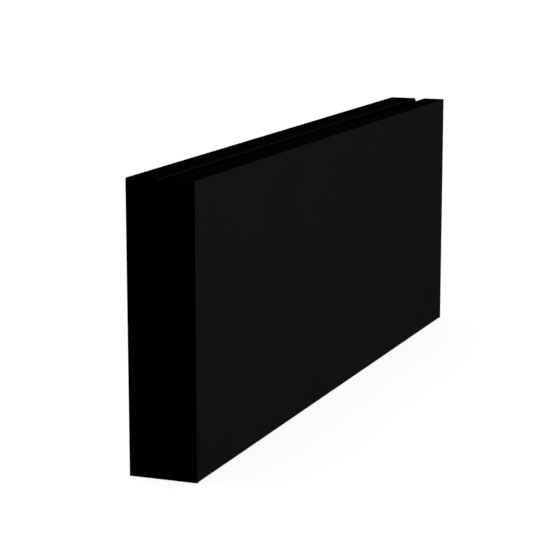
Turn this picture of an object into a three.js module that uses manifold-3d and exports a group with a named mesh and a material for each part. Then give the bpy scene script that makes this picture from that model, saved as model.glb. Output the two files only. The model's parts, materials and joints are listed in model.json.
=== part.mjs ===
// Kick plate for the lower edge of a door panel: a slotted rail, 500 mm long, that clamps a 6 mm panel.
//
// Frame: millimetres, +X along the rail, -Y out of the front face, +Z up. The origin is the centre of the
// underside. Seen from one end, the pieces are, from the rear to the front:
//   rear rail      hollow extrusion: rear face, rear jaw of the slot, slot floor and foot
//   panel slot     lined with gasket strips, with two setting blocks on its floor
//   clamp plate    pulled against the panel by five screws, rocking on its heel
//   front facing   folded cover that pushes onto clips, and hides the clamp plate and its screws
// A notched cap closes each end, and leaves the ends of the slot open.

import * as THREE from "three";
import { mergeVertices } from "three/addons/utils/BufferGeometryUtils.js";
import Module from "manifold-3d";

// ---------------------------------------------------------------- driving dimensions, in mm

const LENGTH = 500;
const THICKNESS = 44; // a standard door leaf
const HEIGHT = 180;
const REAR_DEPTH = 20; // top face behind the slot
const FRONT_DEPTH = 16.5; // top face in front of the slot
const PANEL = 6; // the panel that the slot takes
const CAP = 3; // end cap thickness
const SEAM = 0.1; // between flat faces that meet
const ROUND_GAP = 0.3; // between a shank and its hole

// ---------------------------------------------------------------- planes across the rail

const REAR_Y = THICKNESS / 2;
const FRONT_Y = -THICKNESS / 2;
const JAW_Y = REAR_Y - REAR_DEPTH; // rear side of the slot
const LIP_Y = FRONT_Y + FRONT_DEPTH; // front side of the slot
const SLOT = JAW_Y - LIP_Y;
const SLOT_FLOOR_Z = 99.5;
const BODY_LENGTH = LENGTH - 2 * (CAP + SEAM);

// Rear rail
const WALL = 2.5;
const FLOOR = 3; // foot, slot floor and top wall
const BODY_FRONT_Y = -4.5; // front wall of the lower chamber
const FOOT_FRONT_Y = -11.5;
const WEB_Z = 48; // stiffening web of the lower chamber
const LEDGE = { z: 30, height: 3.4, reach: 4.5 }; // carries the clamp plate's heel
const GROOVE = { height: 4.5, depth: 2.2 }; // holds a gasket's root
const PORT = { boss: 4, bore: 2 + ROUND_GAP }; // runs the length of the rail, for the cap screws
const PORT_INSET = { y: 6, z: 6.5 };

// Clamp plate and its screws
const PLATE = {
  rear: LIP_Y,
  front: -12,
  bottom: LEDGE.z + LEDGE.height + SEAM,
  top: HEIGHT - 11,
  length: LENGTH - 8,
};
const HEEL = { height: 6, reach: 0.9 };
const SCREW_Z = 88;
const SCREW_PITCH = 100;
const SCREW_COUNT = 5;
const SCREW = { shank: 3, length: 20, head: 5, headHeight: 4, socket: 4, socketDepth: 2.2 };
const WASHER = { outer: 6, thick: 1.6 };

// Front facing and the clips that hold it
const SHEET = 2;
const FACING_BOTTOM = 0.25;
const LIP_DEPTH = 8.5; // fold that runs down into the slot
const RETURN_REAR_Y = -12.4; // end of the bottom fold
const BLADE = { thick: 1.6, reach: 5.5 };
const CLIP_ROWS = { lower: 60, upper: 140 };
const CLIP_X = [-180, 0, 180];
const CLIP = { length: 20, footHalf: 5.2, neckHalf: 3.7, half: 4.5, mouthHalf: 2.2, front: -17.5 };
const TEE = { mouthHalf: 4, innerHalf: 5.5, lip: 1, depth: 2.2 }; // slot in the plate for the clips' feet

// Gaskets: heights of the pads, and of the groove under each. The rear pads run on through the end caps.
const PAD_PROUD = (SLOT - PANEL) / 2;
const REAR_PAD_LENGTH = LENGTH - 0.6;
const LOWER_PAD = { low: SLOT_FLOOR_Z + 7.5, high: SLOT_FLOOR_Z + 20, groove: SLOT_FLOOR_Z + 10 };
const REAR_UPPER_PAD = { low: HEIGHT - 20, high: HEIGHT - 1.1, groove: HEIGHT - 10 };
const FRONT_UPPER_PAD = { low: PLATE.top - 16, high: PLATE.top - 0.2, groove: PLATE.top - 12 };
const GASKETS = {
  rear_gasket_upper: { side: 1, ...REAR_UPPER_PAD, length: REAR_PAD_LENGTH },
  rear_gasket_lower: { side: 1, ...LOWER_PAD, length: REAR_PAD_LENGTH },
  front_gasket_upper: { side: -1, ...FRONT_UPPER_PAD, length: PLATE.length },
  front_gasket_lower: { side: -1, ...LOWER_PAD, length: PLATE.length },
};
const SETTING_BLOCK = { length: 50, width: 5.7, height: 6, x: 125 };

// Cap screws, M4 countersunk
const CAP_SCREW = { shank: 2, length: 16, head: 3.8, headHeight: 1.8, socket: 2.5, socketDepth: 1.2 };

// ---------------------------------------------------------------- materials

const material = (color, roughness, metalness) =>
  new THREE.MeshStandardMaterial({ color, roughness, metalness });
const BLACK_COAT = material(0x121212, 0.6, 0.0);
const ALUMINIUM = material(0xb4b6b8, 0.45, 1.0);
const STEEL = material(0x9a9c9e, 0.35, 1.0);
const BLACK_STEEL = material(0x17181a, 0.45, 0.8);
const RUBBER = material(0x0c0c0c, 0.9, 0.0);
const NYLON = material(0xd8d6cc, 0.55, 0.0);

// ---------------------------------------------------------------- solids

const wasm = await Module();
wasm.setup();

function toSolid(geometry) {
  const bare = geometry.index ? geometry.toNonIndexed() : geometry.clone();
  bare.deleteAttribute("normal");
  bare.deleteAttribute("uv");
  const merged = mergeVertices(bare, 1e-4);
  return new wasm.Manifold(
    new wasm.Mesh({
      numProp: 3,
      vertProperties: merged.attributes.position.array,
      triVerts: new Uint32Array(merged.index.array),
    }),
  );
}

function toGeometry(solid) {
  const { vertProperties, triVerts } = solid.getMesh();
  const geometry = new THREE.BufferGeometry();
  geometry.setAttribute("position", new THREE.BufferAttribute(vertProperties, 3));
  geometry.setIndex(new THREE.BufferAttribute(triVerts, 1));
  geometry.computeVertexNormals();
  return geometry;
}

const cut = (geometry, tools) =>
  toGeometry(tools.reduce((solid, tool) => solid.subtract(toSolid(tool)), toSolid(geometry)));
const join = (geometry, tools) =>
  toGeometry(tools.reduce((solid, tool) => solid.add(toSolid(tool)), toSolid(geometry)));

// A closed outline from (y, z) points.
const outline = (points) => new THREE.Shape(points.map(([y, z]) => new THREE.Vector2(y, z)));
const rectangle = (y0, y1, z0, z1) => outline([[y0, z0], [y1, z0], [y1, z1], [y0, z1]]);

// Sweeps a (y, z) outline along X, centred on the origin.
const ALONG_X = new THREE.Matrix4().makeBasis(
  new THREE.Vector3(0, 1, 0),
  new THREE.Vector3(0, 0, 1),
  new THREE.Vector3(1, 0, 0),
);
function sweep(shape, length, curveSegments = 12) {
  const geometry = new THREE.ExtrudeGeometry(shape, { depth: length, bevelEnabled: false, curveSegments });
  return geometry.translate(0, 0, -length / 2).applyMatrix4(ALONG_X);
}

// A round bar along X or along Y.
const SIDES = 24;
const barX = (radius, length, y, z, sides = SIDES) =>
  new THREE.CylinderGeometry(radius, radius, length, sides).rotateZ(Math.PI / 2).translate(0, y, z);
const barY = (radius, length, sides = SIDES) => new THREE.CylinderGeometry(radius, radius, length, sides);

function piece(name, geometry, look, x = 0, y = 0, z = 0) {
  const mesh = new THREE.Mesh(geometry, look);
  mesh.name = name;
  mesh.position.set(x, y, z);
  return mesh;
}

const spread = (count, pitch) => Array.from({ length: count }, (_, i) => (i - (count - 1) / 2) * pitch);

// ---------------------------------------------------------------- rear rail

const portPlaces = [
  [REAR_Y - PORT_INSET.y, HEIGHT - PORT_INSET.z],
  [REAR_Y - PORT_INSET.y, SLOT_FLOOR_Z + PORT_INSET.z],
  [REAR_Y - PORT_INSET.y, PORT_INSET.z],
  [BODY_FRONT_Y + PORT_INSET.y, PORT_INSET.z],
];

function rearRail() {
  const grooves = [GASKETS.rear_gasket_upper.groove, GASKETS.rear_gasket_lower.groove];
  const jaw = grooves.flatMap((z) => [
    [JAW_Y, z + GROOVE.height],
    [JAW_Y + GROOVE.depth, z + GROOVE.height],
    [JAW_Y + GROOVE.depth, z],
    [JAW_Y, z],
  ]);
  const section = outline([
    [FOOT_FRONT_Y, 0],
    [REAR_Y, 0],
    [REAR_Y, HEIGHT],
    [JAW_Y, HEIGHT],
    ...jaw,
    [JAW_Y, SLOT_FLOOR_Z],
    [BODY_FRONT_Y, SLOT_FLOOR_Z],
    [BODY_FRONT_Y, LEDGE.z + LEDGE.height],
    [BODY_FRONT_Y - LEDGE.reach, LEDGE.z + LEDGE.height],
    [BODY_FRONT_Y - LEDGE.reach, LEDGE.z],
    [BODY_FRONT_Y, LEDGE.z],
    [BODY_FRONT_Y, FLOOR],
    [FOOT_FRONT_Y, FLOOR],
  ]);
  const inner = { rear: REAR_Y - WALL, jaw: JAW_Y + GROOVE.depth + WALL, front: BODY_FRONT_Y + WALL };
  const strip = { rear: 4.5, bottom: 79 }; // thick stretch of the front wall that the clamp screws bite in
  const floorUnder = SLOT_FLOOR_Z - FLOOR;
  const chambers = [
    rectangle(inner.jaw, inner.rear, SLOT_FLOOR_Z + FLOOR, HEIGHT - FLOOR),
    rectangle(inner.front, inner.rear, FLOOR, WEB_Z),
    outline([
      [inner.front, WEB_Z + WALL],
      [inner.rear, WEB_Z + WALL],
      [inner.rear, floorUnder],
      [strip.rear, floorUnder],
      [strip.rear, strip.bottom],
      [inner.front, strip.bottom],
    ]),
  ];
  const through = BODY_LENGTH + 2;
  const hollow = cut(sweep(section, BODY_LENGTH), chambers.map((shape) => sweep(shape, through)));
  const bosses = portPlaces.map(([y, z]) => barX(PORT.boss, BODY_LENGTH, y, z, 16));
  const bores = portPlaces.map(([y, z]) => barX(PORT.bore, through, y, z, 16));
  const threads = spread(SCREW_COUNT, SCREW_PITCH).map((x) =>
    barY(SCREW.shank + ROUND_GAP, 12).translate(x, 0, SCREW_Z),
  );
  return piece("rear_rail", cut(join(hollow, bosses), [...bores, ...threads]), BLACK_COAT);
}

// ---------------------------------------------------------------- clamp plate, screws and washers

function clampPlate() {
  const tee = (z) => [
    [PLATE.front, z + TEE.mouthHalf],
    [PLATE.front + TEE.lip, z + TEE.mouthHalf],
    [PLATE.front + TEE.lip, z + TEE.innerHalf],
    [PLATE.front + TEE.depth, z + TEE.innerHalf],
    [PLATE.front + TEE.depth, z - TEE.innerHalf],
    [PLATE.front + TEE.lip, z - TEE.innerHalf],
    [PLATE.front + TEE.lip, z - TEE.mouthHalf],
    [PLATE.front, z - TEE.mouthHalf],
  ];
  const groove = (z) => [
    [PLATE.rear, z],
    [PLATE.rear - GROOVE.depth, z],
    [PLATE.rear - GROOVE.depth, z + GROOVE.height],
    [PLATE.rear, z + GROOVE.height],
  ];
  const section = outline([
    [PLATE.front, PLATE.bottom],
    [PLATE.rear + HEEL.reach, PLATE.bottom],
    [PLATE.rear + HEEL.reach, PLATE.bottom + HEEL.height],
    [PLATE.rear, PLATE.bottom + HEEL.height],
    ...groove(GASKETS.front_gasket_lower.groove),
    ...groove(GASKETS.front_gasket_upper.groove),
    [PLATE.rear, PLATE.top],
    [PLATE.front, PLATE.top],
    ...tee(CLIP_ROWS.upper),
    ...tee(CLIP_ROWS.lower),
  ]);
  const holes = spread(SCREW_COUNT, SCREW_PITCH).map((x) =>
    barY(SCREW.shank + ROUND_GAP, 20).translate(x, PLATE.front, SCREW_Z),
  );
  return piece("clamp_plate", cut(sweep(section, PLATE.length), holes), ALUMINIUM);
}

// A low-head socket screw along Y, with the underside of its head at the origin and its head towards -Y.
function clampScrewGeometry() {
  const { shank, length, head, headHeight, socket, socketDepth } = SCREW;
  const tip = 0.8;
  const turned = new THREE.LatheGeometry(
    [
      [0, -headHeight],
      [head - 0.4, -headHeight],
      [head, -headHeight + 0.4],
      [head, 0],
      [shank, 0],
      [shank, length - tip],
      [shank - tip, length],
      [0, length],
    ].map(([r, y]) => new THREE.Vector2(r, y)),
    SIDES,
  );
  const hex = barY(socket / Math.sqrt(3), 2 * socketDepth, 6).translate(0, -headHeight, 0);
  return cut(turned, [hex]);
}

function clampScrews() {
  const washerFace = PLATE.front - SEAM;
  const headFace = washerFace - WASHER.thick - SEAM;
  const screw = clampScrewGeometry();
  const washer = cut(barY(WASHER.outer, WASHER.thick), [barY(SCREW.shank + ROUND_GAP, 4)]);
  return spread(SCREW_COUNT, SCREW_PITCH).flatMap((x, i) => [
    piece(`clamp_screw_${i + 1}`, screw, STEEL, x, headFace, SCREW_Z),
    piece(`clamp_washer_${i + 1}`, washer, STEEL, x, washerFace - WASHER.thick / 2, SCREW_Z),
  ]);
}

// ---------------------------------------------------------------- front facing and its clips

function frontFacing() {
  const inside = FRONT_Y + SHEET;
  const blade = (z) => [
    [inside, z + BLADE.thick / 2],
    [inside + BLADE.reach, z + BLADE.thick / 2],
    [inside + BLADE.reach, z - BLADE.thick / 2],
    [inside, z - BLADE.thick / 2],
  ];
  const section = outline([
    [FRONT_Y, FACING_BOTTOM],
    [RETURN_REAR_Y, FACING_BOTTOM],
    [RETURN_REAR_Y, FACING_BOTTOM + SHEET],
    [inside, FACING_BOTTOM + SHEET],
    ...blade(CLIP_ROWS.lower).reverse(),
    ...blade(CLIP_ROWS.upper).reverse(),
    [inside, HEIGHT - SHEET],
    [LIP_Y - SHEET, HEIGHT - SHEET],
    [LIP_Y - SHEET, HEIGHT - LIP_DEPTH],
    [LIP_Y, HEIGHT - LIP_DEPTH],
    [LIP_Y, HEIGHT],
    [FRONT_Y, HEIGHT],
  ]);
  return piece("front_facing", sweep(section, BODY_LENGTH), BLACK_COAT);
}

// A moulded clip: a foot in the plate's tee slot, and two arms that grip the facing's blade.
function clipGeometry() {
  const foot = { rear: PLATE.front + TEE.depth - SEAM, front: PLATE.front + TEE.lip + SEAM };
  const shoulder = PLATE.front - ROUND_GAP;
  const grip = BLADE.thick / 2 + ROUND_GAP;
  const throat = { rear: FRONT_Y + SHEET + BLADE.reach + 1, mouth: CLIP.front + 1.2 };
  const half = [
    [foot.rear, CLIP.footHalf],
    [foot.front, CLIP.footHalf],
    [foot.front, CLIP.neckHalf],
    [shoulder, CLIP.neckHalf],
    [shoulder, CLIP.half],
    [CLIP.front, CLIP.half - 0.8],
    [CLIP.front, CLIP.mouthHalf],
    [throat.mouth, grip],
    [throat.rear, grip],
  ];
  const mirrored = half.map(([y, z]) => [y, -z]).reverse();
  return sweep(outline([...half, ...mirrored]), CLIP.length);
}

function facingClips() {
  const clip = clipGeometry();
  return Object.entries(CLIP_ROWS).flatMap(([row, z]) =>
    CLIP_X.map((x, i) => piece(`facing_clip_${row}_${i + 1}`, clip, NYLON, x, 0, z)),
  );
}

// ---------------------------------------------------------------- slot furniture

// A gasket strip: a pad that stands proud of the slot's side, with a root in the groove behind it.
function gasket(name, { side, low, high, groove, length }) {
  const wall = side > 0 ? JAW_Y : LIP_Y;
  const at = (depth) => wall + side * depth;
  const clearance = 0.3;
  const pad = outline([
    [at(-SEAM), low],
    [at(-PAD_PROUD), low + 0.6],
    [at(-PAD_PROUD), high - 0.6],
    [at(-SEAM), high],
  ]);
  const root = rectangle(
    at(-PAD_PROUD / 2),
    at(GROOVE.depth - SEAM),
    groove + clearance,
    groove + GROOVE.height - clearance,
  );
  return piece(name, join(sweep(pad, length), [sweep(root, PLATE.length)]), RUBBER);
}

function slotFurniture() {
  const gaskets = Object.entries(GASKETS).map(([name, spec]) => gasket(name, spec));
  const { length, width, height, x } = SETTING_BLOCK;
  const block = new THREE.BoxGeometry(length, width, height);
  const middle = (LIP_Y + JAW_Y) / 2;
  const z = SLOT_FLOOR_Z + SEAM + height / 2;
  return [
    ...gaskets,
    piece("setting_block_left", block, RUBBER, -x, middle, z),
    piece("setting_block_right", block, RUBBER, x, middle, z),
  ];
}

// ---------------------------------------------------------------- end caps and their screws

// A countersunk screw along X, with the top of its head at the origin and its shank towards +X.
function capScrewGeometry() {
  const { shank, length, head, headHeight, socket, socketDepth } = CAP_SCREW;
  const turned = new THREE.LatheGeometry(
    [
      [0, 0],
      [head, 0],
      [shank, headHeight],
      [shank, length - 0.8],
      [shank - 0.8, length],
      [0, length],
    ].map(([r, y]) => new THREE.Vector2(r, y)),
    SIDES,
  );
  const hex = barY(socket / Math.sqrt(3), 2 * socketDepth, 6);
  return cut(turned, [hex]).rotateZ(-Math.PI / 2);
}

// One cap is the other turned round, so both are made from the same plate with the holes cut from outside.
function capGeometry(outward) {
  const corner = 0.3;
  const plate = new THREE.Shape();
  plate.moveTo(FRONT_Y + corner, 0);
  plate.lineTo(REAR_Y - corner, 0);
  plate.absarc(REAR_Y - corner, corner, corner, -Math.PI / 2, 0);
  plate.lineTo(REAR_Y, HEIGHT - corner);
  plate.absarc(REAR_Y - corner, HEIGHT - corner, corner, 0, Math.PI / 2);
  plate.lineTo(JAW_Y, HEIGHT);
  plate.lineTo(JAW_Y, SLOT_FLOOR_Z + SLOT / 2);
  plate.absarc((JAW_Y + LIP_Y) / 2, SLOT_FLOOR_Z + SLOT / 2, SLOT / 2, 0, -Math.PI, true);
  plate.lineTo(LIP_Y, HEIGHT);
  plate.lineTo(FRONT_Y + corner, HEIGHT);
  plate.absarc(FRONT_Y + corner, HEIGHT - corner, corner, Math.PI / 2, Math.PI);
  plate.lineTo(FRONT_Y, corner);
  plate.absarc(FRONT_Y + corner, corner, corner, Math.PI, 1.5 * Math.PI);
  const { shank, head, headHeight } = CAP_SCREW;
  const sink = new THREE.CylinderGeometry(head + ROUND_GAP, shank + ROUND_GAP, headHeight, SIDES);
  const towards = outward > 0 ? -Math.PI / 2 : Math.PI / 2;
  const tools = portPlaces.flatMap(([y, z]) => [
    barX(shank + ROUND_GAP, 2 * CAP, y, z),
    sink.clone().rotateZ(towards).translate(outward * (CAP - headHeight) / 2, y, z),
  ]);
  return cut(sweep(plate, CAP, 4), tools);
}

function endCap(side, outward) {
  const group = new THREE.Group();
  group.position.x = outward * (LENGTH - CAP) / 2;
  group.add(piece(`${side}_end_cap`, capGeometry(outward), BLACK_COAT));
  const screw = outward > 0 ? capScrewGeometry().rotateZ(Math.PI) : capScrewGeometry();
  portPlaces.forEach(([y, z], i) =>
    group.add(piece(`${side}_cap_screw_${i + 1}`, screw, BLACK_STEEL, outward * CAP / 2, y, z)),
  );
  return group;
}

// ---------------------------------------------------------------- the assembly

const kickPlate = new THREE.Group();
kickPlate.add(
  rearRail(),
  clampPlate(),
  ...clampScrews(),
  frontFacing(),
  ...facingClips(),
  ...slotFurniture(),
  endCap("left", -1),
  endCap("right", 1),
);

export default kickPlate;
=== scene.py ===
"""Looks for a slotted kick plate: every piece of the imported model, remade with its real edges and finish.

The frame is the model's own: the rail runs along X, the plain front faces -Y, and Z is up from the
underside. Shapes are given in millimetres, and become metres where a mesh or a place is made.
Cross-sections are lists of (y, z), or of (y, z, radius) where a corner is rounded, and are swept along X.
Lights and camera are in metres.
"""

import json
import math

import bmesh
import bpy
from mathutils import Matrix, Vector, geometry

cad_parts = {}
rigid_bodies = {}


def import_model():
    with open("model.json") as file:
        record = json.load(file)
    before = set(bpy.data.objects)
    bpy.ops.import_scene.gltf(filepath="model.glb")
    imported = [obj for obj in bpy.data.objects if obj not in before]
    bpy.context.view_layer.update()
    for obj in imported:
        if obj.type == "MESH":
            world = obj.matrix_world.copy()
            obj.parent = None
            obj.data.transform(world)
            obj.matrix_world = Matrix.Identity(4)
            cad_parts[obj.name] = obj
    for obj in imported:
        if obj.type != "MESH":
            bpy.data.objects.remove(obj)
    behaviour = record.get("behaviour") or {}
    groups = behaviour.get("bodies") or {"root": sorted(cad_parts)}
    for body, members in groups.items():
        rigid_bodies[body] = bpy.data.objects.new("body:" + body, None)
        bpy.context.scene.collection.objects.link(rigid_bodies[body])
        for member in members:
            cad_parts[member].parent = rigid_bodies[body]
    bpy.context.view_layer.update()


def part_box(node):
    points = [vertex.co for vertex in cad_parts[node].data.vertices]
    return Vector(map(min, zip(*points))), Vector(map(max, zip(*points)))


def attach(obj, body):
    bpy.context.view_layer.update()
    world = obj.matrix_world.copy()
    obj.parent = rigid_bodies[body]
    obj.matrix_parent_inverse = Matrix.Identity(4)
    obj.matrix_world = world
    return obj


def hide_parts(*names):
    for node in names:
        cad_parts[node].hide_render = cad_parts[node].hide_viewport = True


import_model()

MM = 0.001


def node_box(node):
    """The lowest and highest corner of a CAD node, in millimetres."""
    low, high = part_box(node)
    return Vector(low) / MM, Vector(high) / MM


# ---------------------------------------------------------------- measures, in mm

RAIL_LOW, RAIL_HIGH = node_box("rear_rail")
FACING_LOW, FACING_HIGH = node_box("front_facing")
CAP_LOW, CAP_HIGH = node_box("left_end_cap")
PLATE_LOW, PLATE_HIGH = node_box("clamp_plate")
SEAM = 0.1  # between faces that meet
SAME_POINT = 0.0001  # points closer than this become one
CRISP = 35  # degrees; sharper edges are not shaded smooth

HEIGHT = CAP_HIGH.z
REAR = CAP_HIGH.y
FRONT = CAP_LOW.y
CAP = CAP_HIGH.x - CAP_LOW.x  # thickness of an end cap
REAR_TOP = 20.0  # width of the top behind the slot
JAW = REAR - REAR_TOP  # rear side of the slot
LIP = FACING_HIGH.y  # front side of the slot
SLOT = JAW - LIP
SLOT_FLOOR = node_box("setting_block_left")[0].z - SEAM

# Roundings of the extrusions
EDGE = 0.25  # outside corners
CREASE = 0.6  # inside corners
CHAMBER_CORNER = 1.0
GROOVE_EDGE = 0.2

# Rear rail
WALL = 2.5
FLOOR = 3.0  # foot, slot floor and top
BODY_FRONT = -4.5  # outer face of the front wall
WEB = 48.0  # underside of the web between the lower and middle chambers
STRIP = {"rear": 4.5, "bottom": 79.0}  # thick upper part of the front wall, that the clamp screws go into
LEDGE = {"low": 30.0, "high": 33.4, "reach": 4.5}  # the clamp plate's heel stands on it
GROOVE = {"height": 4.5, "depth": 2.2}  # holds a gasket's root
PORT = {"boss": 4.0, "bore": 2.2, "inset": 3.5}  # two radii, and the distance from centre to chamber wall
PORTS = [(16.0, HEIGHT - 6.5), (16.0, SLOT_FLOOR + 6.5), (16.0, 6.5), (1.5, 6.5)]

# Clamp plate, its screws, and the clips that hold the facing
SCREW_Z = 88.0
SCREW_X = [-200.0, -100.0, 0.0, 100.0, 200.0]
HEEL = 6.0  # height of the clamp plate's heel
CLIP_Z = {"lower": 60.0, "upper": 140.0}
CLIP_X = [-180.0, 0.0, 180.0]
TEE = {"mouth": 4.0, "inner": 5.5, "lip": 1.0, "depth": 2.2}  # slot for the clips

# Front facing
SHEET = 2.0
LIP_DEPTH = 8.5
RETURN_END = -12.4  # rear edge of its lower return
BLADE = {"thick": 1.6, "reach": 5.5}

# Gaskets
PAD = 0.75  # how far a gasket stands out of its jaw
GASKET_GROOVES = {  # undersides of their grooves
    "rear_gasket_upper": HEIGHT - 10.0,
    "rear_gasket_lower": SLOT_FLOOR + 10.0,
    "front_gasket_upper": PLATE_HIGH.z - 12.0,
    "front_gasket_lower": SLOT_FLOOR + 10.0,
}

# ---------------------------------------------------------------- outlines


def fillet(corners, steps=5):
    """Rounds a closed outline. Each corner is (y, z, radius); a radius of 0 keeps it sharp."""
    rounded = []
    for i, (y, z, radius) in enumerate(corners):
        here = Vector((y, z))
        if radius == 0:
            rounded.append(here)
            continue
        back = (Vector(corners[i - 1][:2]) - here).normalized()
        ahead = (Vector(corners[(i + 1) % len(corners)][:2]) - here).normalized()
        half = back.angle(ahead) / 2
        reach = radius / math.tan(half)
        centre = here + (back + ahead).normalized() * (radius / math.sin(half))
        first = here + back * reach - centre
        last = here + ahead * reach - centre
        turn = first.angle_signed(last)
        for k in range(steps + 1):
            spoke = first.copy()
            spoke.rotate(Matrix.Rotation(-turn * k / steps, 2))
            rounded.append(centre + spoke)
    return rounded


def circle(y, z, radius, count=24):
    """A closed ring of points, anticlockwise."""
    return [
        Vector((y + radius * math.cos(a), z + radius * math.sin(a)))
        for a in (2 * math.pi * k / count for k in range(count))
    ]


def port_arc(y, z, towards, steps=10):
    """The side of a screw port's boss that bulges into a chamber. Its centre is near the chamber's corner
    that lies in the direction towards, in degrees."""
    opening = 45 + math.degrees(math.acos(PORT["inset"] / PORT["boss"]))
    first = towards - opening
    sweep = 360 - 2 * opening
    return [
        (
            y + PORT["boss"] * math.cos(math.radians(first - sweep * k / steps)),
            z + PORT["boss"] * math.sin(math.radians(first - sweep * k / steps)),
            0,
        )
        for k in range(steps + 1)
    ]


def inset(loop, distance):
    """Moves a closed loop to its left, which is into the material."""
    moved = []
    for i, here in enumerate(loop):
        before = (here - loop[i - 1]).normalized()
        after = (loop[(i + 1) % len(loop)] - here).normalized()
        left = Vector((-before.y, before.x)), Vector((-after.y, after.x))
        moved.append(here + (left[0] + left[1]) * (distance / (1 + left[0].dot(left[1]))))
    return moved


# ---------------------------------------------------------------- meshes


def make(name, points, faces, smooth=CRISP):
    """A mesh object from points in millimetres, with edges sharper than smooth degrees kept crisp."""
    mesh = bpy.data.meshes.new(name)
    mesh.from_pydata([Vector(p) * MM for p in points], [], faces)
    bm = bmesh.new()
    bm.from_mesh(mesh)
    bmesh.ops.remove_doubles(bm, verts=bm.verts, dist=SAME_POINT * MM)
    bmesh.ops.recalc_face_normals(bm, faces=bm.faces)
    bm.to_mesh(mesh)
    bm.free()
    mesh.shade_smooth()
    mesh.set_sharp_from_angle(angle=math.radians(smooth))
    piece = bpy.data.objects.new(name, mesh)
    bpy.context.scene.collection.objects.link(piece)
    weigh_normals(piece)
    return piece


def weigh_normals(piece):
    """Lets large flat faces keep their own shading next to small roundings."""
    weigh = piece.modifiers.new("normals", "WEIGHTED_NORMAL")
    weigh.mode = "FACE_AREA"
    weigh.weight = 90
    weigh.keep_sharp = True


def loft(name, levels):
    """Joins cross-sections into a solid. Each level is (x, loops): the outline first, then the holes."""
    points, faces, starts = [], [], []
    for x, loops in levels:
        starts.append([])
        for loop in loops:
            starts[-1].append(len(points))
            points += [(x, p.x, p.y) for p in loop]
    for here, there, (_, loops) in zip(starts, starts[1:], levels):
        for a, b, loop in zip(here, there, loops):
            count = len(loop)
            for i in range(count):
                j = (i + 1) % count
                faces.append((a + i, a + j, b + j, b + i))
    for start, (_, loops) in ((starts[0], levels[0]), (starts[-1], levels[-1])):
        flat = [[Vector((p.x, p.y, 0)) for p in loop] for loop in loops]
        faces += [tuple(start[0] + i for i in t) for t in geometry.tessellate_polygon(flat)]
    return make(name, points, faces)


def eased(loops, x0, x1, ease, steps=3):
    """Levels from x0 to x1 whose end edges are rounded over by ease."""
    ends = []
    for k in range(steps + 1):
        angle = math.pi / 2 * k / steps
        ends.append((ease * (1 - math.cos(angle)), ease * (1 - math.sin(angle))))
    near = [(x0 + along, [inset(loop, drawn) for loop in loops]) for along, drawn in ends]
    far = [(x1 - along, [inset(loop, drawn) for loop in loops]) for along, drawn in reversed(ends)]
    return near + far


def sweep(name, outline, x0, x1, ease=0.2, holes=()):
    """An outline, anticlockwise, swept from x0 to x1. The holes are anticlockwise too."""
    return loft(name, eased([outline] + [hole[::-1] for hole in holes], x0, x1, ease))


def turned(name, rings, axis, sides, closed=False, smooth=CRISP):
    """A solid made of rings about a line through the origin. A ring is (along, radius), and the radius may
    be a function of the angle. axis is the direction that along is measured in."""
    axis = Vector(axis)
    across = Vector((0, 0, 1)).cross(axis)
    up = axis.cross(across)
    points, faces = [], []
    for along, radius in rings:
        for k in range(sides):
            angle = 2 * math.pi * k / sides
            r = radius(angle) if callable(radius) else radius
            points.append(axis * along + across * (r * math.cos(angle)) + up * (r * math.sin(angle)))
    pairs = list(zip(range(len(rings)), range(1, len(rings))))
    if closed:
        pairs.append((len(rings) - 1, 0))
    for a, b in pairs:
        for i in range(sides):
            j = (i + 1) % sides
            faces.append((a * sides + i, a * sides + j, b * sides + j, b * sides + i))
    if not closed:
        faces.append(tuple(range(sides)))
        faces.append(tuple(range((len(rings) - 1) * sides, len(rings) * sides)))
    return make(name, points, faces, smooth)


def copy_at(source, name, place, spin=0.0, axis="Y"):
    """Another object with the same mesh, at a place in millimetres, turned by spin degrees."""
    piece = bpy.data.objects.new(name, source.data)
    bpy.context.scene.collection.objects.link(piece)
    weigh_normals(piece)
    piece.location = Vector(place) * MM
    setattr(piece.rotation_euler, axis.lower(), math.radians(spin))
    return piece


def drill(piece, bars):
    """Cuts bars out of a piece, and removes the bars."""
    piece.modifiers.clear()
    for bar in bars:
        cut = piece.modifiers.new("hole", "BOOLEAN")
        cut.object = bar
        cut.solver = "EXACT"
    bpy.context.view_layer.update()
    graph = bpy.context.evaluated_depsgraph_get()
    mesh = bpy.data.meshes.new_from_object(piece.evaluated_get(graph))
    mesh.name = piece.name
    piece.modifiers.clear()
    piece.data = mesh
    mesh.shade_smooth()
    mesh.set_sharp_from_angle(angle=math.radians(CRISP))
    weigh_normals(piece)
    for bar in bars:
        bpy.data.objects.remove(bar)


def drill_for_screws(piece, y, radius, reach):
    """Holes for the clamp screws, from reach in front of y to reach behind it."""
    bars = []
    for x in SCREW_X:
        bar = turned("bar", [(-reach, radius), (reach, radius)], (0, 1, 0), 32)
        bar.location = Vector((x, y, SCREW_Z)) * MM
        bars.append(bar)
    drill(piece, bars)


# ---------------------------------------------------------------- materials


def nodes_of(name, colour, roughness, metallic, specular):
    """A new material, its node tree and its Principled shader."""
    material = bpy.data.materials.new(name)
    material.use_nodes = True
    tree = material.node_tree
    shader = tree.nodes["Principled BSDF"]
    shader.inputs["Base Color"].default_value = (*colour, 1)
    shader.inputs["Roughness"].default_value = roughness
    shader.inputs["Metallic"].default_value = metallic
    shader.inputs["Specular IOR Level"].default_value = specular
    return material, tree, shader


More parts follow.
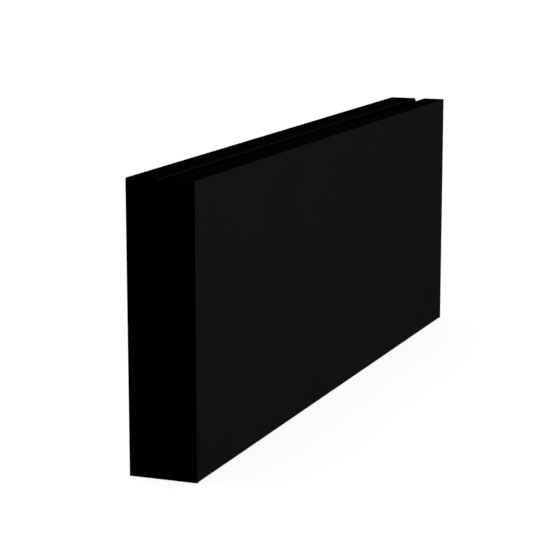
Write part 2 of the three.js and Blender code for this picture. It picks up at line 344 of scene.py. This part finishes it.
def noise(tree, scale, detail=3.0, stretch=(1, 1, 1), rough=0.5):
    """A noise texture in the model's own frame; scale is per metre."""
    place = tree.nodes.new("ShaderNodeTexCoord")
    mapping = tree.nodes.new("ShaderNodeMapping")
    mapping.inputs["Scale"].default_value = stretch
    texture = tree.nodes.new("ShaderNodeTexNoise")
    texture.inputs["Scale"].default_value = scale
    texture.inputs["Detail"].default_value = detail
    texture.inputs["Roughness"].default_value = rough
    tree.links.new(place.outputs["Object"], mapping.inputs["Vector"])
    tree.links.new(mapping.outputs["Vector"], texture.inputs["Vector"])
    return texture.outputs["Fac"]


def between(tree, factor, low, high, start=0.3, end=0.7):
    """A number that runs from low to high as the factor runs from start to end."""
    node = tree.nodes.new("ShaderNodeMapRange")
    node.inputs["From Min"].default_value = start
    node.inputs["From Max"].default_value = end
    node.inputs["To Min"].default_value = low
    node.inputs["To Max"].default_value = high
    tree.links.new(factor, node.inputs["Value"])
    return node.outputs["Result"]


def blend_colours(tree, factor, low, high):
    """A colour between low and high."""
    ramp = tree.nodes.new("ShaderNodeValToRGB")
    ramp.color_ramp.elements[0].position = 0.35
    ramp.color_ramp.elements[0].color = (*low, 1)
    ramp.color_ramp.elements[1].position = 0.65
    ramp.color_ramp.elements[1].color = (*high, 1)
    tree.links.new(factor, ramp.inputs["Fac"])
    return ramp.outputs["Color"]


def bump(tree, shader, height, strength, depth):
    """Surface relief, with its depth in millimetres."""
    node = tree.nodes.new("ShaderNodeBump")
    node.inputs["Strength"].default_value = strength
    node.inputs["Distance"].default_value = depth * MM
    tree.links.new(height, node.inputs["Height"])
    tree.links.new(node.outputs["Normal"], shader.inputs["Normal"])


def black_coat():
    """Fine-textured black powder coat: even, matt, with a slight grain."""
    material, tree, shader = nodes_of("black_powder_coat", (0.02, 0.02, 0.0204), 0.6, 0.0, 0.15)
    grain = noise(tree, 1900, 3.0, rough=0.6)
    cloud = noise(tree, 26, 4.0)
    colour = blend_colours(tree, cloud, (0.0188, 0.0188, 0.0192), (0.0212, 0.0212, 0.0216))
    tree.links.new(colour, shader.inputs["Base Color"])
    tree.links.new(between(tree, grain, 0.52, 0.7), shader.inputs["Roughness"])
    bump(tree, shader, grain, 0.8, 0.12)
    return material


def mill_aluminium():
    """Bare extruded aluminium: fine die lines along the length, and a cloudy oxide."""
    material, tree, shader = nodes_of("mill_aluminium", (0.6, 0.61, 0.62), 0.42, 1.0, 0.5)
    lines = noise(tree, 2400, 3.0, (0.0015, 1, 1))
    cloud = noise(tree, 22, 5.0)
    colour = blend_colours(tree, cloud, (0.55, 0.56, 0.575), (0.61, 0.62, 0.63))
    tree.links.new(colour, shader.inputs["Base Color"])
    tree.links.new(between(tree, lines, 0.38, 0.5), shader.inputs["Roughness"])
    bump(tree, shader, lines, 0.12, 0.01)
    return material


def zinc_steel():
    """Bright zinc plate over turned steel."""
    material, tree, shader = nodes_of("zinc_plated_steel", (0.55, 0.57, 0.6), 0.3, 1.0, 0.5)
    cloud = noise(tree, 220, 4.0)
    fine = noise(tree, 2400, 2.0)
    colour = blend_colours(tree, cloud, (0.44, 0.46, 0.49), (0.62, 0.63, 0.65))
    tree.links.new(colour, shader.inputs["Base Color"])
    tree.links.new(between(tree, fine, 0.24, 0.4), shader.inputs["Roughness"])
    bump(tree, shader, fine, 0.2, 0.01)
    return material


def black_steel():
    """Black oxide on the cap screws, with a little oil in it."""
    material, tree, shader = nodes_of("black_oxide_steel", (0.022, 0.022, 0.024), 0.45, 0.0, 0.3)
    cloud = noise(tree, 500, 3.0)
    colour = blend_colours(tree, cloud, (0.018, 0.018, 0.020), (0.028, 0.028, 0.030))
    tree.links.new(colour, shader.inputs["Base Color"])
    tree.links.new(between(tree, cloud, 0.42, 0.58), shader.inputs["Roughness"])
    return material


def gasket_rubber():
    """Extruded EPDM: very matt, with faint drag lines along its length."""
    material, tree, shader = nodes_of("epdm_rubber", (0.01, 0.01, 0.01), 0.85, 0.0, 0.1)
    lines = noise(tree, 1500, 2.0, (0.01, 1, 1))
    bloom = noise(tree, 60, 5.0)
    colour = blend_colours(tree, bloom, (0.008, 0.008, 0.008), (0.0125, 0.0125, 0.012))
    tree.links.new(colour, shader.inputs["Base Color"])
    tree.links.new(between(tree, lines, 0.78, 0.92), shader.inputs["Roughness"])
    bump(tree, shader, lines, 0.3, 0.02)
    return material


def clip_nylon():
    """Natural moulded nylon, slightly translucent."""
    material, tree, shader = nodes_of("natural_nylon", (0.66, 0.63, 0.55), 0.45, 0.0, 0.4)
    shader.inputs["Subsurface Weight"].default_value = 0.15
    shader.inputs["Subsurface Radius"].default_value = (0.002, 0.0015, 0.001)
    cloud = noise(tree, 180, 3.0)
    fine = noise(tree, 1800, 2.0)
    colour = blend_colours(tree, cloud, (0.62, 0.59, 0.51), (0.7, 0.67, 0.6))
    tree.links.new(colour, shader.inputs["Base Color"])
    tree.links.new(between(tree, fine, 0.4, 0.52), shader.inputs["Roughness"])
    bump(tree, shader, fine, 0.15, 0.02)
    return material


FINISHES = {
    "black_coat": black_coat(),
    "mill_aluminium": mill_aluminium(),
    "zinc_steel": zinc_steel(),
    "black_steel": black_steel(),
    "gasket_rubber": gasket_rubber(),
    "clip_nylon": clip_nylon(),
}


def fit(piece, slot, body, *nodes):
    """Gives a finished piece its material and body, and hides the CAD nodes that it stands for."""
    if not piece.data.materials:
        piece.data.materials.append(FINISHES[slot])
    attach(piece, body)
    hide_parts(*nodes)


# ---------------------------------------------------------------- rear rail


def rear_rail():
    """One extrusion with an upper, a middle and a lower chamber, and four screw ports."""
    jaw = []
    for z in (GASKET_GROOVES["rear_gasket_upper"], GASKET_GROOVES["rear_gasket_lower"]):
        jaw += [
            (JAW, z + GROOVE["height"], GROOVE_EDGE),
            (JAW + GROOVE["depth"], z + GROOVE["height"], GROOVE_EDGE),
            (JAW + GROOVE["depth"], z, GROOVE_EDGE),
            (JAW, z, GROOVE_EDGE),
        ]
    outline = fillet(
        [
            (RAIL_LOW.y, 0, EDGE),
            (REAR, 0, EDGE),
            (REAR, HEIGHT, EDGE),
            (JAW, HEIGHT, EDGE),
            *jaw,
            (JAW, SLOT_FLOOR, CREASE),
            (BODY_FRONT, SLOT_FLOOR, EDGE),
            (BODY_FRONT, LEDGE["high"], EDGE),
            (BODY_FRONT - LEDGE["reach"], LEDGE["high"], EDGE),
            (BODY_FRONT - LEDGE["reach"], LEDGE["low"], EDGE),
            (BODY_FRONT, LEDGE["low"], CREASE),
            (BODY_FRONT, FLOOR, CREASE),
            (RAIL_LOW.y, FLOOR, EDGE),
        ]
    )
    rear, front = REAR - WALL, BODY_FRONT + WALL
    jaw_inside = JAW + GROOVE["depth"] + WALL
    floor_under = SLOT_FLOOR - FLOOR
    upper = fillet(
        [
            (jaw_inside, SLOT_FLOOR + FLOOR, CHAMBER_CORNER),
            *port_arc(*PORTS[1], 315),
            *port_arc(*PORTS[0], 45),
            (jaw_inside, HEIGHT - FLOOR, CHAMBER_CORNER),
        ]
    )
    middle = fillet(
        [
            (front, WEB + WALL, CHAMBER_CORNER),
            (rear, WEB + WALL, CHAMBER_CORNER),
            (rear, floor_under, CHAMBER_CORNER),
            (STRIP["rear"], floor_under, CHAMBER_CORNER),
            (STRIP["rear"], STRIP["bottom"], CHAMBER_CORNER),
            (front, STRIP["bottom"], CHAMBER_CORNER),
        ]
    )
    lower = fillet(
        [
            *port_arc(*PORTS[3], 225),
            *port_arc(*PORTS[2], 315),
            (rear, WEB, CHAMBER_CORNER),
            (front, WEB, CHAMBER_CORNER),
        ]
    )
    bores = [circle(y, z, PORT["bore"]) for y, z in PORTS]
    hollows = [upper, middle, lower, *bores]
    rail = sweep("rear_rail_extrusion", outline, RAIL_LOW.x, RAIL_HIGH.x, 0.15, hollows)
    drill_for_screws(rail, 0, radius=3.25, reach=6)
    fit(rail, "black_coat", "rail", "rear_rail")


# ---------------------------------------------------------------- clamp plate, screws and washers


def clamp_plate():
    """One extrusion with a heel, two gasket grooves behind, and two tee slots in front."""
    front, rear = PLATE_LOW.y, LIP
    heel = PLATE_HIGH.y
    bottom, top = PLATE_LOW.z, PLATE_HIGH.z
    outline = [
        (front, bottom, 0.4),
        (heel, bottom, 0.5),
        (heel, bottom + HEEL, 0.5),
        (rear, bottom + HEEL, 0.3),
    ]
    for z in (GASKET_GROOVES["front_gasket_lower"], GASKET_GROOVES["front_gasket_upper"]):
        outline += [
            (rear, z, GROOVE_EDGE),
            (rear - GROOVE["depth"], z, GROOVE_EDGE),
            (rear - GROOVE["depth"], z + GROOVE["height"], GROOVE_EDGE),
            (rear, z + GROOVE["height"], GROOVE_EDGE),
        ]
    outline += [(rear, top, 0.4), (front, top, 0.4)]
    inner = 0.15  # rounding inside a tee slot
    for z in (CLIP_Z["upper"], CLIP_Z["lower"]):
        outline += [
            (front, z + TEE["mouth"], GROOVE_EDGE),
            (front + TEE["lip"], z + TEE["mouth"], inner),
            (front + TEE["lip"], z + TEE["inner"], inner),
            (front + TEE["depth"], z + TEE["inner"], inner),
            (front + TEE["depth"], z - TEE["inner"], inner),
            (front + TEE["lip"], z - TEE["inner"], inner),
            (front + TEE["lip"], z - TEE["mouth"], inner),
            (front, z - TEE["mouth"], GROOVE_EDGE),
        ]
    plate = sweep("clamp_plate_extrusion", fillet(outline), PLATE_LOW.x, PLATE_HIGH.x, 0.15)
    drill_for_screws(plate, front, radius=3.3, reach=10)
    fit(plate, "mill_aluminium", "clamp", "clamp_plate")


def hexagon(across_flats):
    """The radius of a hexagonal ring at an angle."""
    return lambda angle: across_flats / 2 / math.cos((angle % (math.pi / 3)) - math.pi / 6)


def thread_rings(start, end, major, depth, pitch, per_turn=8):
    """Rings whose radius follows a helical thread, fading in and out at its ends."""
    peak, slope = 1.6, 4.2  # of its profile, which is cut off flat at the root (0) and at the crest (1)
    count = round((end - start) / pitch * per_turn)
    rings = []
    for k in range(count + 1):
        along = start + (end - start) * k / count
        fade = min(1.0, (along - start) / pitch, (end - along) / pitch)

        def radius(angle, along=along, fade=fade):
            phase = (along / pitch - angle / (2 * math.pi)) % 1.0
            ridge = min(1.0, max(0.0, peak - abs(phase - 0.5) * slope))
            return major - depth * (1 - ridge * fade)

        rings.append((along, radius))
    return rings


def socket_screw(name, head_rings, socket, depth, shank, pitch, length, axis, sides):
    """A screw with a hexagon socket. head_rings run from the rim of its face to the shank's root.
    The socket's bottom is a shallow cone, and the shank's tip is chamfered."""
    face = head_rings[0][0]
    thread = 0.61 * pitch  # depth of a metric thread
    cone = 0.5
    chamfer, flare = 0.15, 0.35  # at the socket's mouth
    plain, tip = 0.3, 0.6  # lengths of shank without a thread
    rings = [
        (face + depth + cone, 0.02),
        (face + depth, hexagon(socket)),
        (face + chamfer, hexagon(socket)),
        (face, hexagon(socket + flare)),
        *head_rings,
        *thread_rings(head_rings[-1][0] + plain, length - tip - plain, shank, thread, pitch),
        (length - tip, shank - thread),
        (length, shank - thread - 0.5),
    ]
    return turned(name, rings, axis, sides, smooth=40)


def clamp_screws():
    """M6 cap screws with a low head, seated on the washers."""
    box_low, box_high = node_box("clamp_screw_1")
    head_height, head, shank = 4.0, 5.0, 3.0
    seat = box_low.y + head_height
    head_rings = [
        (-head_height, head - 0.45),
        (-head_height + 0.1, head - 0.18),
        (-head_height + 0.35, head),
        (-0.25, head),
        (0, head - 0.2),
        (0, shank + 0.25),
        (0.25, shank),
    ]
    length = box_high.y - seat
    socket, depth, pitch = 4.0, 2.2, 1.0
    axis = (0, 1, 0)
    source = socket_screw("screw_pattern", head_rings, socket, depth, shank, pitch, length, axis, 36)
    for i, x in enumerate(SCREW_X, start=1):
        screw = copy_at(source, f"clamp_screw_{i}_m6", (x, seat, SCREW_Z), 23 * i)
        fit(screw, "zinc_steel", f"screw_{i}", f"clamp_screw_{i}")
    bpy.data.objects.remove(source)


def clamp_washers():
    """Turned washers, with a small bevel in the hole and a rounded rim."""
    low, high = node_box("clamp_washer_1")
    outer, inner, thick = 6.0, 3.25, high.y - low.y
    ease, rim, nick = 0.2, 0.35, 0.1
    profile = [
        (0, inner + ease),
        (ease, inner),
        (thick - ease, inner),
        (thick, inner + ease),
        (thick, outer - rim),
        (thick - nick, outer - nick),
        (thick - rim, outer),
        (rim, outer),
        (nick, outer - nick),
        (0, outer - rim),
    ]
    source = turned("washer_pattern", profile, (0, 1, 0), 48, closed=True)
    for i, x in enumerate(SCREW_X, start=1):
        washer = copy_at(source, f"clamp_washer_{i}_m6", (x, low.y, SCREW_Z), 31 * i)
        fit(washer, "zinc_steel", "clamp", f"clamp_washer_{i}")
    bpy.data.objects.remove(source)


# ---------------------------------------------------------------- front facing and clips


def front_facing():
    """A cover with a return at its foot, a lip beside the slot, and two blades for the clips."""
    inside = FRONT + SHEET
    bottom = FACING_LOW.z
    lip_bottom = HEIGHT - LIP_DEPTH
    free, blade = 0.4, 0.5  # rounding of the free edges, and of the blades
    outline = [
        (FRONT, bottom, 0.2),
        (RETURN_END, bottom, free),
        (RETURN_END, bottom + SHEET, free),
        (inside, bottom + SHEET, CREASE),
    ]
    for z in (CLIP_Z["lower"], CLIP_Z["upper"]):
        outline += [
            (inside, z - BLADE["thick"] / 2, blade),
            (inside + BLADE["reach"], z - BLADE["thick"] / 2, blade),
            (inside + BLADE["reach"], z + BLADE["thick"] / 2, blade),
            (inside, z + BLADE["thick"] / 2, blade),
        ]
    outline += [
        (inside, HEIGHT - SHEET, CREASE),
        (LIP - SHEET, HEIGHT - SHEET, CREASE),
        (LIP - SHEET, lip_bottom, free),
        (LIP, lip_bottom, free),
        (LIP, HEIGHT, EDGE),
        (FRONT, HEIGHT, EDGE),
    ]
    facing = sweep("front_facing_cover", fillet(outline), FACING_LOW.x, FACING_HIGH.x, 0.2)
    fit(facing, "black_coat", "facing", "front_facing")


def facing_clips():
    """Moulded clips: a foot in the plate's tee slot, and two arms that grip a blade of the facing."""
    low, high = node_box("facing_clip_lower_1")
    front = low.y
    plate = PLATE_LOW.y
    play = 0.1  # around the foot
    stand_off = 0.3  # from the plate to the arms
    throat = FRONT + SHEET + BLADE["reach"] + 1
    foot, neck, arms, nose, mouth = 5.2, 3.7, 4.5, 3.4, 2.3  # half heights
    grip = BLADE["thick"] / 2 + 0.3
    relief = grip + 0.35
    upper_half = [
        (plate + TEE["depth"] - play, foot, 0.2),
        (plate + TEE["lip"] + play, foot, 0.2),
        (plate + TEE["lip"] + play, neck, 0.15),
        (plate - stand_off, neck, 0.15),
        (plate - stand_off, arms, 0.4),
        (front + 1.6, arms, 0.8),
        (front, nose, 0.4),
        (front, mouth, 0.3),
        (front + 1.2, grip, 0.2),
        (throat - 2.6, grip, 0.2),
        (throat - 2.2, relief, 0.2),
        (throat - 0.6, relief, 0.4),
        (throat, grip - 0.3, 0.3),
    ]
    lower_half = [(y, -z, r) for y, z, r in reversed(upper_half)]
    length = high.x - low.x
    source = sweep("clip_pattern", fillet(upper_half + lower_half), -length / 2, length / 2, 0.14)
    for row, z in CLIP_Z.items():
        for i, x in enumerate(CLIP_X, start=1):
            clip = copy_at(source, f"clip_{row}_{i}_moulded", (x, 0, z))
            fit(clip, "clip_nylon", "clamp", f"facing_clip_{row}_{i}")
    bpy.data.objects.remove(source)


# ---------------------------------------------------------------- slot furniture


def gasket(node, body):
    """A strip with a ribbed pad, and a root in its groove. The rear strips run out into the end caps'
    notches, and their roots stop short of the caps."""
    low, high = node_box(node)
    rear = node.startswith("rear")
    side = 1 if rear else -1
    wall = JAW if rear else LIP
    proud = wall - side * PAD
    tip = wall + side * (GROOVE["depth"] - SEAM)
    back = wall - side * SEAM
    play = 0.3  # above and below the root
    foot = GASKET_GROOVES[node] + play
    head = foot + GROOVE["height"] - 2 * play
    margin, dip, spacing = 0.8, 0.22, 2.2  # of the ribs
    count = max(3, round((high.z - low.z - 2 * margin) / spacing))
    pitch = (high.z - low.z - 2 * margin) / count
    ribs = []
    for k in range(count):
        z = low.z + margin + k * pitch
        ribs += [
            (proud, z + 0.25, 0.12),
            (proud, z + pitch - 0.55, 0.12),
            (proud + side * dip, z + pitch - 0.15, 0),
        ]
    slant = 0.15  # the pad's upper and lower rims lean back
    pad = [(back, low.z, 0.1), (proud + side * slant, low.z + 0.3, 0.15), *ribs[:-1]]
    pad += [(proud + side * slant, high.z - 0.3, 0.15), (back, high.z, 0.1), (back, head, 0)]
    whole = fillet([*pad, (tip, head, 0.3), (tip, foot, 0.3), (back, foot, 0)], 3)
    # the same strip with its root pressed flat into its back, for the ends that lie in the caps' notches
    root = [i for i, p in enumerate(whole) if side * (p.x - back) > SAME_POINT]
    flush = list(whole)
    for k, i in enumerate(root, start=1):
        flush[i] = Vector((back, head + (foot - head) * k / (len(root) + 1)))
    if rear:
        whole.reverse()
        flush.reverse()
    ease = 0.05
    if rear:
        ends = eased([flush], low.x, high.x, ease)
        half = len(ends) // 2
        levels = ends[:half] + [(PLATE_LOW.x, [flush]), (PLATE_LOW.x, [whole])]
        levels += [(PLATE_HIGH.x, [whole]), (PLATE_HIGH.x, [flush])] + ends[half:]
    else:
        levels = eased([whole], low.x, high.x, ease)
    fit(loft(node + "_strip", levels), "gasket_rubber", body, node)


def setting_blocks():
    """Rubber blocks on the slot's floor, each with a drain channel underneath."""
    channel = {"half": 1.2, "height": 1.0}
    for side in ("left", "right"):
        low, high = node_box(f"setting_block_{side}")
        middle = (low.y + high.y) / 2
        outline = fillet(
            [
                (low.y, low.z, 0.4),
                (middle - channel["half"], low.z, 0.2),
                (middle - channel["half"], low.z + channel["height"], 0.3),
                (middle + channel["half"], low.z + channel["height"], 0.3),
                (middle + channel["half"], low.z, 0.2),
                (high.y, low.z, 0.4),
                (high.y, high.z, 0.5),
                (low.y, high.z, 0.5),
            ]
        )
        block = sweep(f"setting_block_{side}_moulded", outline, low.x, high.x, 0.15)
        fit(block, "gasket_rubber", "rail", f"setting_block_{side}")


# ---------------------------------------------------------------- end caps and their screws


def cap_outline():
    """The whole end of the rail, with a notch as wide and as deep as the slot."""
    middle = (JAW + LIP) / 2
    radius = SLOT / 2
    notch = [
        (middle + radius * math.cos(a), SLOT_FLOOR + radius + radius * math.sin(a), 0)
        for a in (-math.pi * k / 16 for k in range(17))
    ]
    corner = 0.3  # rounding of its four outer corners
    return fillet(
        [
            (FRONT, 0, corner),
            (REAR, 0, corner),
            (REAR, HEIGHT, corner),
            (JAW, HEIGHT, EDGE),
            *notch,
            (LIP, HEIGHT, EDGE),
            (FRONT, HEIGHT, corner),
        ]
    )


def end_cap(side, outward):
    """One cap and its four screws, in holes countersunk from outside. outward is -1 or 1, along X."""
    low, high = node_box(f"{side}_end_cap")
    face = high.x if outward > 0 else low.x
    sink, bore, sink_depth = 4.1, 2.3, 1.8
    # depths from the outer face, and how far the outline is drawn in there to round the edges
    outer_edge = [(0.0, 0.2), (0.03, 0.1), (0.08, 0.04), (0.2, 0.0)]
    inner_edge = [(CAP - 0.1, 0.0), (CAP, 0.1)]
    levels = []
    for depth, drawn in [*outer_edge, (sink_depth, 0.0), *inner_edge]:
        radius = sink - (sink - bore) * min(depth, sink_depth) / sink_depth + drawn * 0.3
        holes = [circle(y, z, radius, 32)[::-1] for y, z in PORTS]
        levels.append((face - outward * depth, [inset(cap_outline(), drawn), *holes]))
    cap = loft(f"{side}_end_cap_plate", levels)
    fit(cap, "black_coat", "rail", f"{side}_end_cap")

    head, shank, head_height, length = 3.85, 2.0, 1.85, 16.0
    head_rings = [
        (0.08, head - 0.25),
        (0.14, head - 0.06),
        (0.24, head),
        (head_height, shank + 0.1),
        (head_height + 0.3, shank),
    ]
    socket, socket_depth, pitch = 2.5, 1.2, 0.7
    axis = (-outward, 0, 0)
    name = f"{side}_cap_screw"
    source = socket_screw(name, head_rings, socket, socket_depth, shank, pitch, length, axis, 32)
    for i, (y, z) in enumerate(PORTS, start=1):
        screw = copy_at(source, f"{name}_{i}_m4", (face, y, z), 19 * i + 7, "X")
        fit(screw, "black_steel", "rail", f"{name}_{i}")
    bpy.data.objects.remove(source)


# ---------------------------------------------------------------- studio


def studio():
    """A pale floor and an even white surround. The object gets hardly any light from them, so its black
    stays black."""
    scene = bpy.context.scene
    scene.view_settings.view_transform = "Standard"

    reach = 30.0
    corners = [(-reach, -reach, 0), (reach, -reach, 0), (reach, reach, 0), (-reach, reach, 0)]
    floor = bpy.data.objects.new("floor", bpy.data.meshes.new("floor"))
    floor.data.from_pydata(corners, [], [(0, 1, 2, 3)])
    floor.location.z = -0.2 * MM
    scene.collection.objects.link(floor)
    material, _, shader = nodes_of("pale_floor", (0.3, 0.3, 0.3), 0.9, 0.0, 0.0)
    shader.inputs["Emission Color"].default_value = (1, 1, 1, 1)
    shader.inputs["Emission Strength"].default_value = 0.9
    floor.data.materials.append(material)
    floor.visible_diffuse = False
    floor.visible_glossy = False

    lamp = bpy.data.lights.new("floor_light", "SUN")
    lamp.energy = 1.4
    lamp.angle = math.radians(70)
    overhead = bpy.data.objects.new("floor_light", lamp)
    overhead.rotation_euler = (math.radians(-12), math.radians(8), 0)
    scene.collection.objects.link(overhead)
    light_only(overhead, [floor])

    world = bpy.data.worlds.new("studio")
    scene.world = world
    world.use_nodes = True
    tree = world.node_tree
    seen = tree.nodes["Background"]
    seen.inputs["Color"].default_value = (1, 1, 1, 1)
    fill = tree.nodes.new("ShaderNodeBackground")
    fill.inputs["Color"].default_value = (1, 1, 1, 1)
    fill.inputs["Strength"].default_value = 0.0035
    path = tree.nodes.new("ShaderNodeLightPath")
    mix = tree.nodes.new("ShaderNodeMixShader")
    tree.links.new(path.outputs["Is Camera Ray"], mix.inputs["Fac"])
    tree.links.new(fill.outputs["Background"], mix.inputs[1])
    tree.links.new(seen.outputs["Background"], mix.inputs[2])
    tree.links.new(mix.outputs["Shader"], tree.nodes["World Output"].inputs["Surface"])


def light_only(light, pieces):
    """Makes a light reach nothing but these pieces."""
    lit = bpy.data.collections.new("lit_by_" + light.name)
    for piece in pieces:
        lit.objects.link(piece)
    light.light_linking.receiver_collection = lit


def soft_light(name, direction, distance, width, height, power):
    """A rectangular soft light aimed at the middle of the rail."""
    target = Vector((0, 0, HEIGHT / 2)) * MM
    lamp = bpy.data.lights.new(name, "AREA")
    lamp.shape = "RECTANGLE"
    lamp.size = width
    lamp.size_y = height
    lamp.energy = power
    light = bpy.data.objects.new(name, lamp)
    light.location = target + Vector(direction).normalized() * distance
    light.rotation_euler = (target - light.location).to_track_quat("-Z", "Y").to_euler()
    bpy.context.scene.collection.objects.link(light)
    return light


def inner_lights():
    """Show the bright pieces that the facing hides, once it is pulled off."""
    finishes = [FINISHES[slot] for slot in ("mill_aluminium", "zinc_steel", "clip_nylon")]
    bright = [piece for piece in bpy.data.objects if piece.active_material in finishes]
    for name, side in (("inner_left", -1), ("inner_right", 1)):
        direction = (side * 0.75, -0.4, 0.5)
        light = soft_light(name, direction, distance=1.5, width=1.2, height=0.8, power=14)
        light_only(light, bright)


def right_end_light():
    """Shows the right end, and keeps out of the slot."""
    light = soft_light("right_fill", (1.70, 0.26, 0.0), distance=1.7, width=0.5, height=0.16, power=12)
    pieces = [piece for piece in bpy.data.objects if piece.name.startswith("right_")]
    light_only(light, [piece for piece in pieces if piece.data])


def camera():
    """Looks at the left end and the front from a little above, with a long lens."""
    azimuth, elevation = math.radians(-68.782), math.radians(11.070)
    back = Vector(
        (
            math.sin(azimuth) * math.cos(elevation),
            -math.cos(azimuth) * math.cos(elevation),
            math.sin(elevation),
        )
    )
    right = Vector((0, 0, 1)).cross(back).normalized()
    up = back.cross(right)
    data = bpy.data.cameras.new("camera")
    data.sensor_width = 36
    data.lens = 125.52
    data.clip_start = 0.05
    data.clip_end = 100
    view = bpy.data.objects.new("camera", data)
    distance, aside, above = 1.3886, -0.0211, 0.0739
    view.location = back * distance + right * aside + up * above
    view.rotation_euler = (-back).to_track_quat("-Z", "Y").to_euler()
    bpy.context.scene.collection.objects.link(view)
    bpy.context.scene.camera = view


# ---------------------------------------------------------------- the whole object

studio()
camera()
soft_light("key", (0.50, -1.60, 0.22), distance=1.7, width=1.0, height=0.3, power=5.9)
soft_light("rear_fill", (0.20, 1.70, 0.0), distance=1.7, width=0.9, height=0.16, power=14)

rear_rail()
clamp_plate()
clamp_screws()
clamp_washers()
front_facing()
facing_clips()
for strip_name in GASKET_GROOVES:
    gasket(strip_name, "rail" if strip_name.startswith("rear") else "clamp")
setting_blocks()
end_cap("left", -1)
end_cap("right", 1)
inner_lights()
right_end_light()
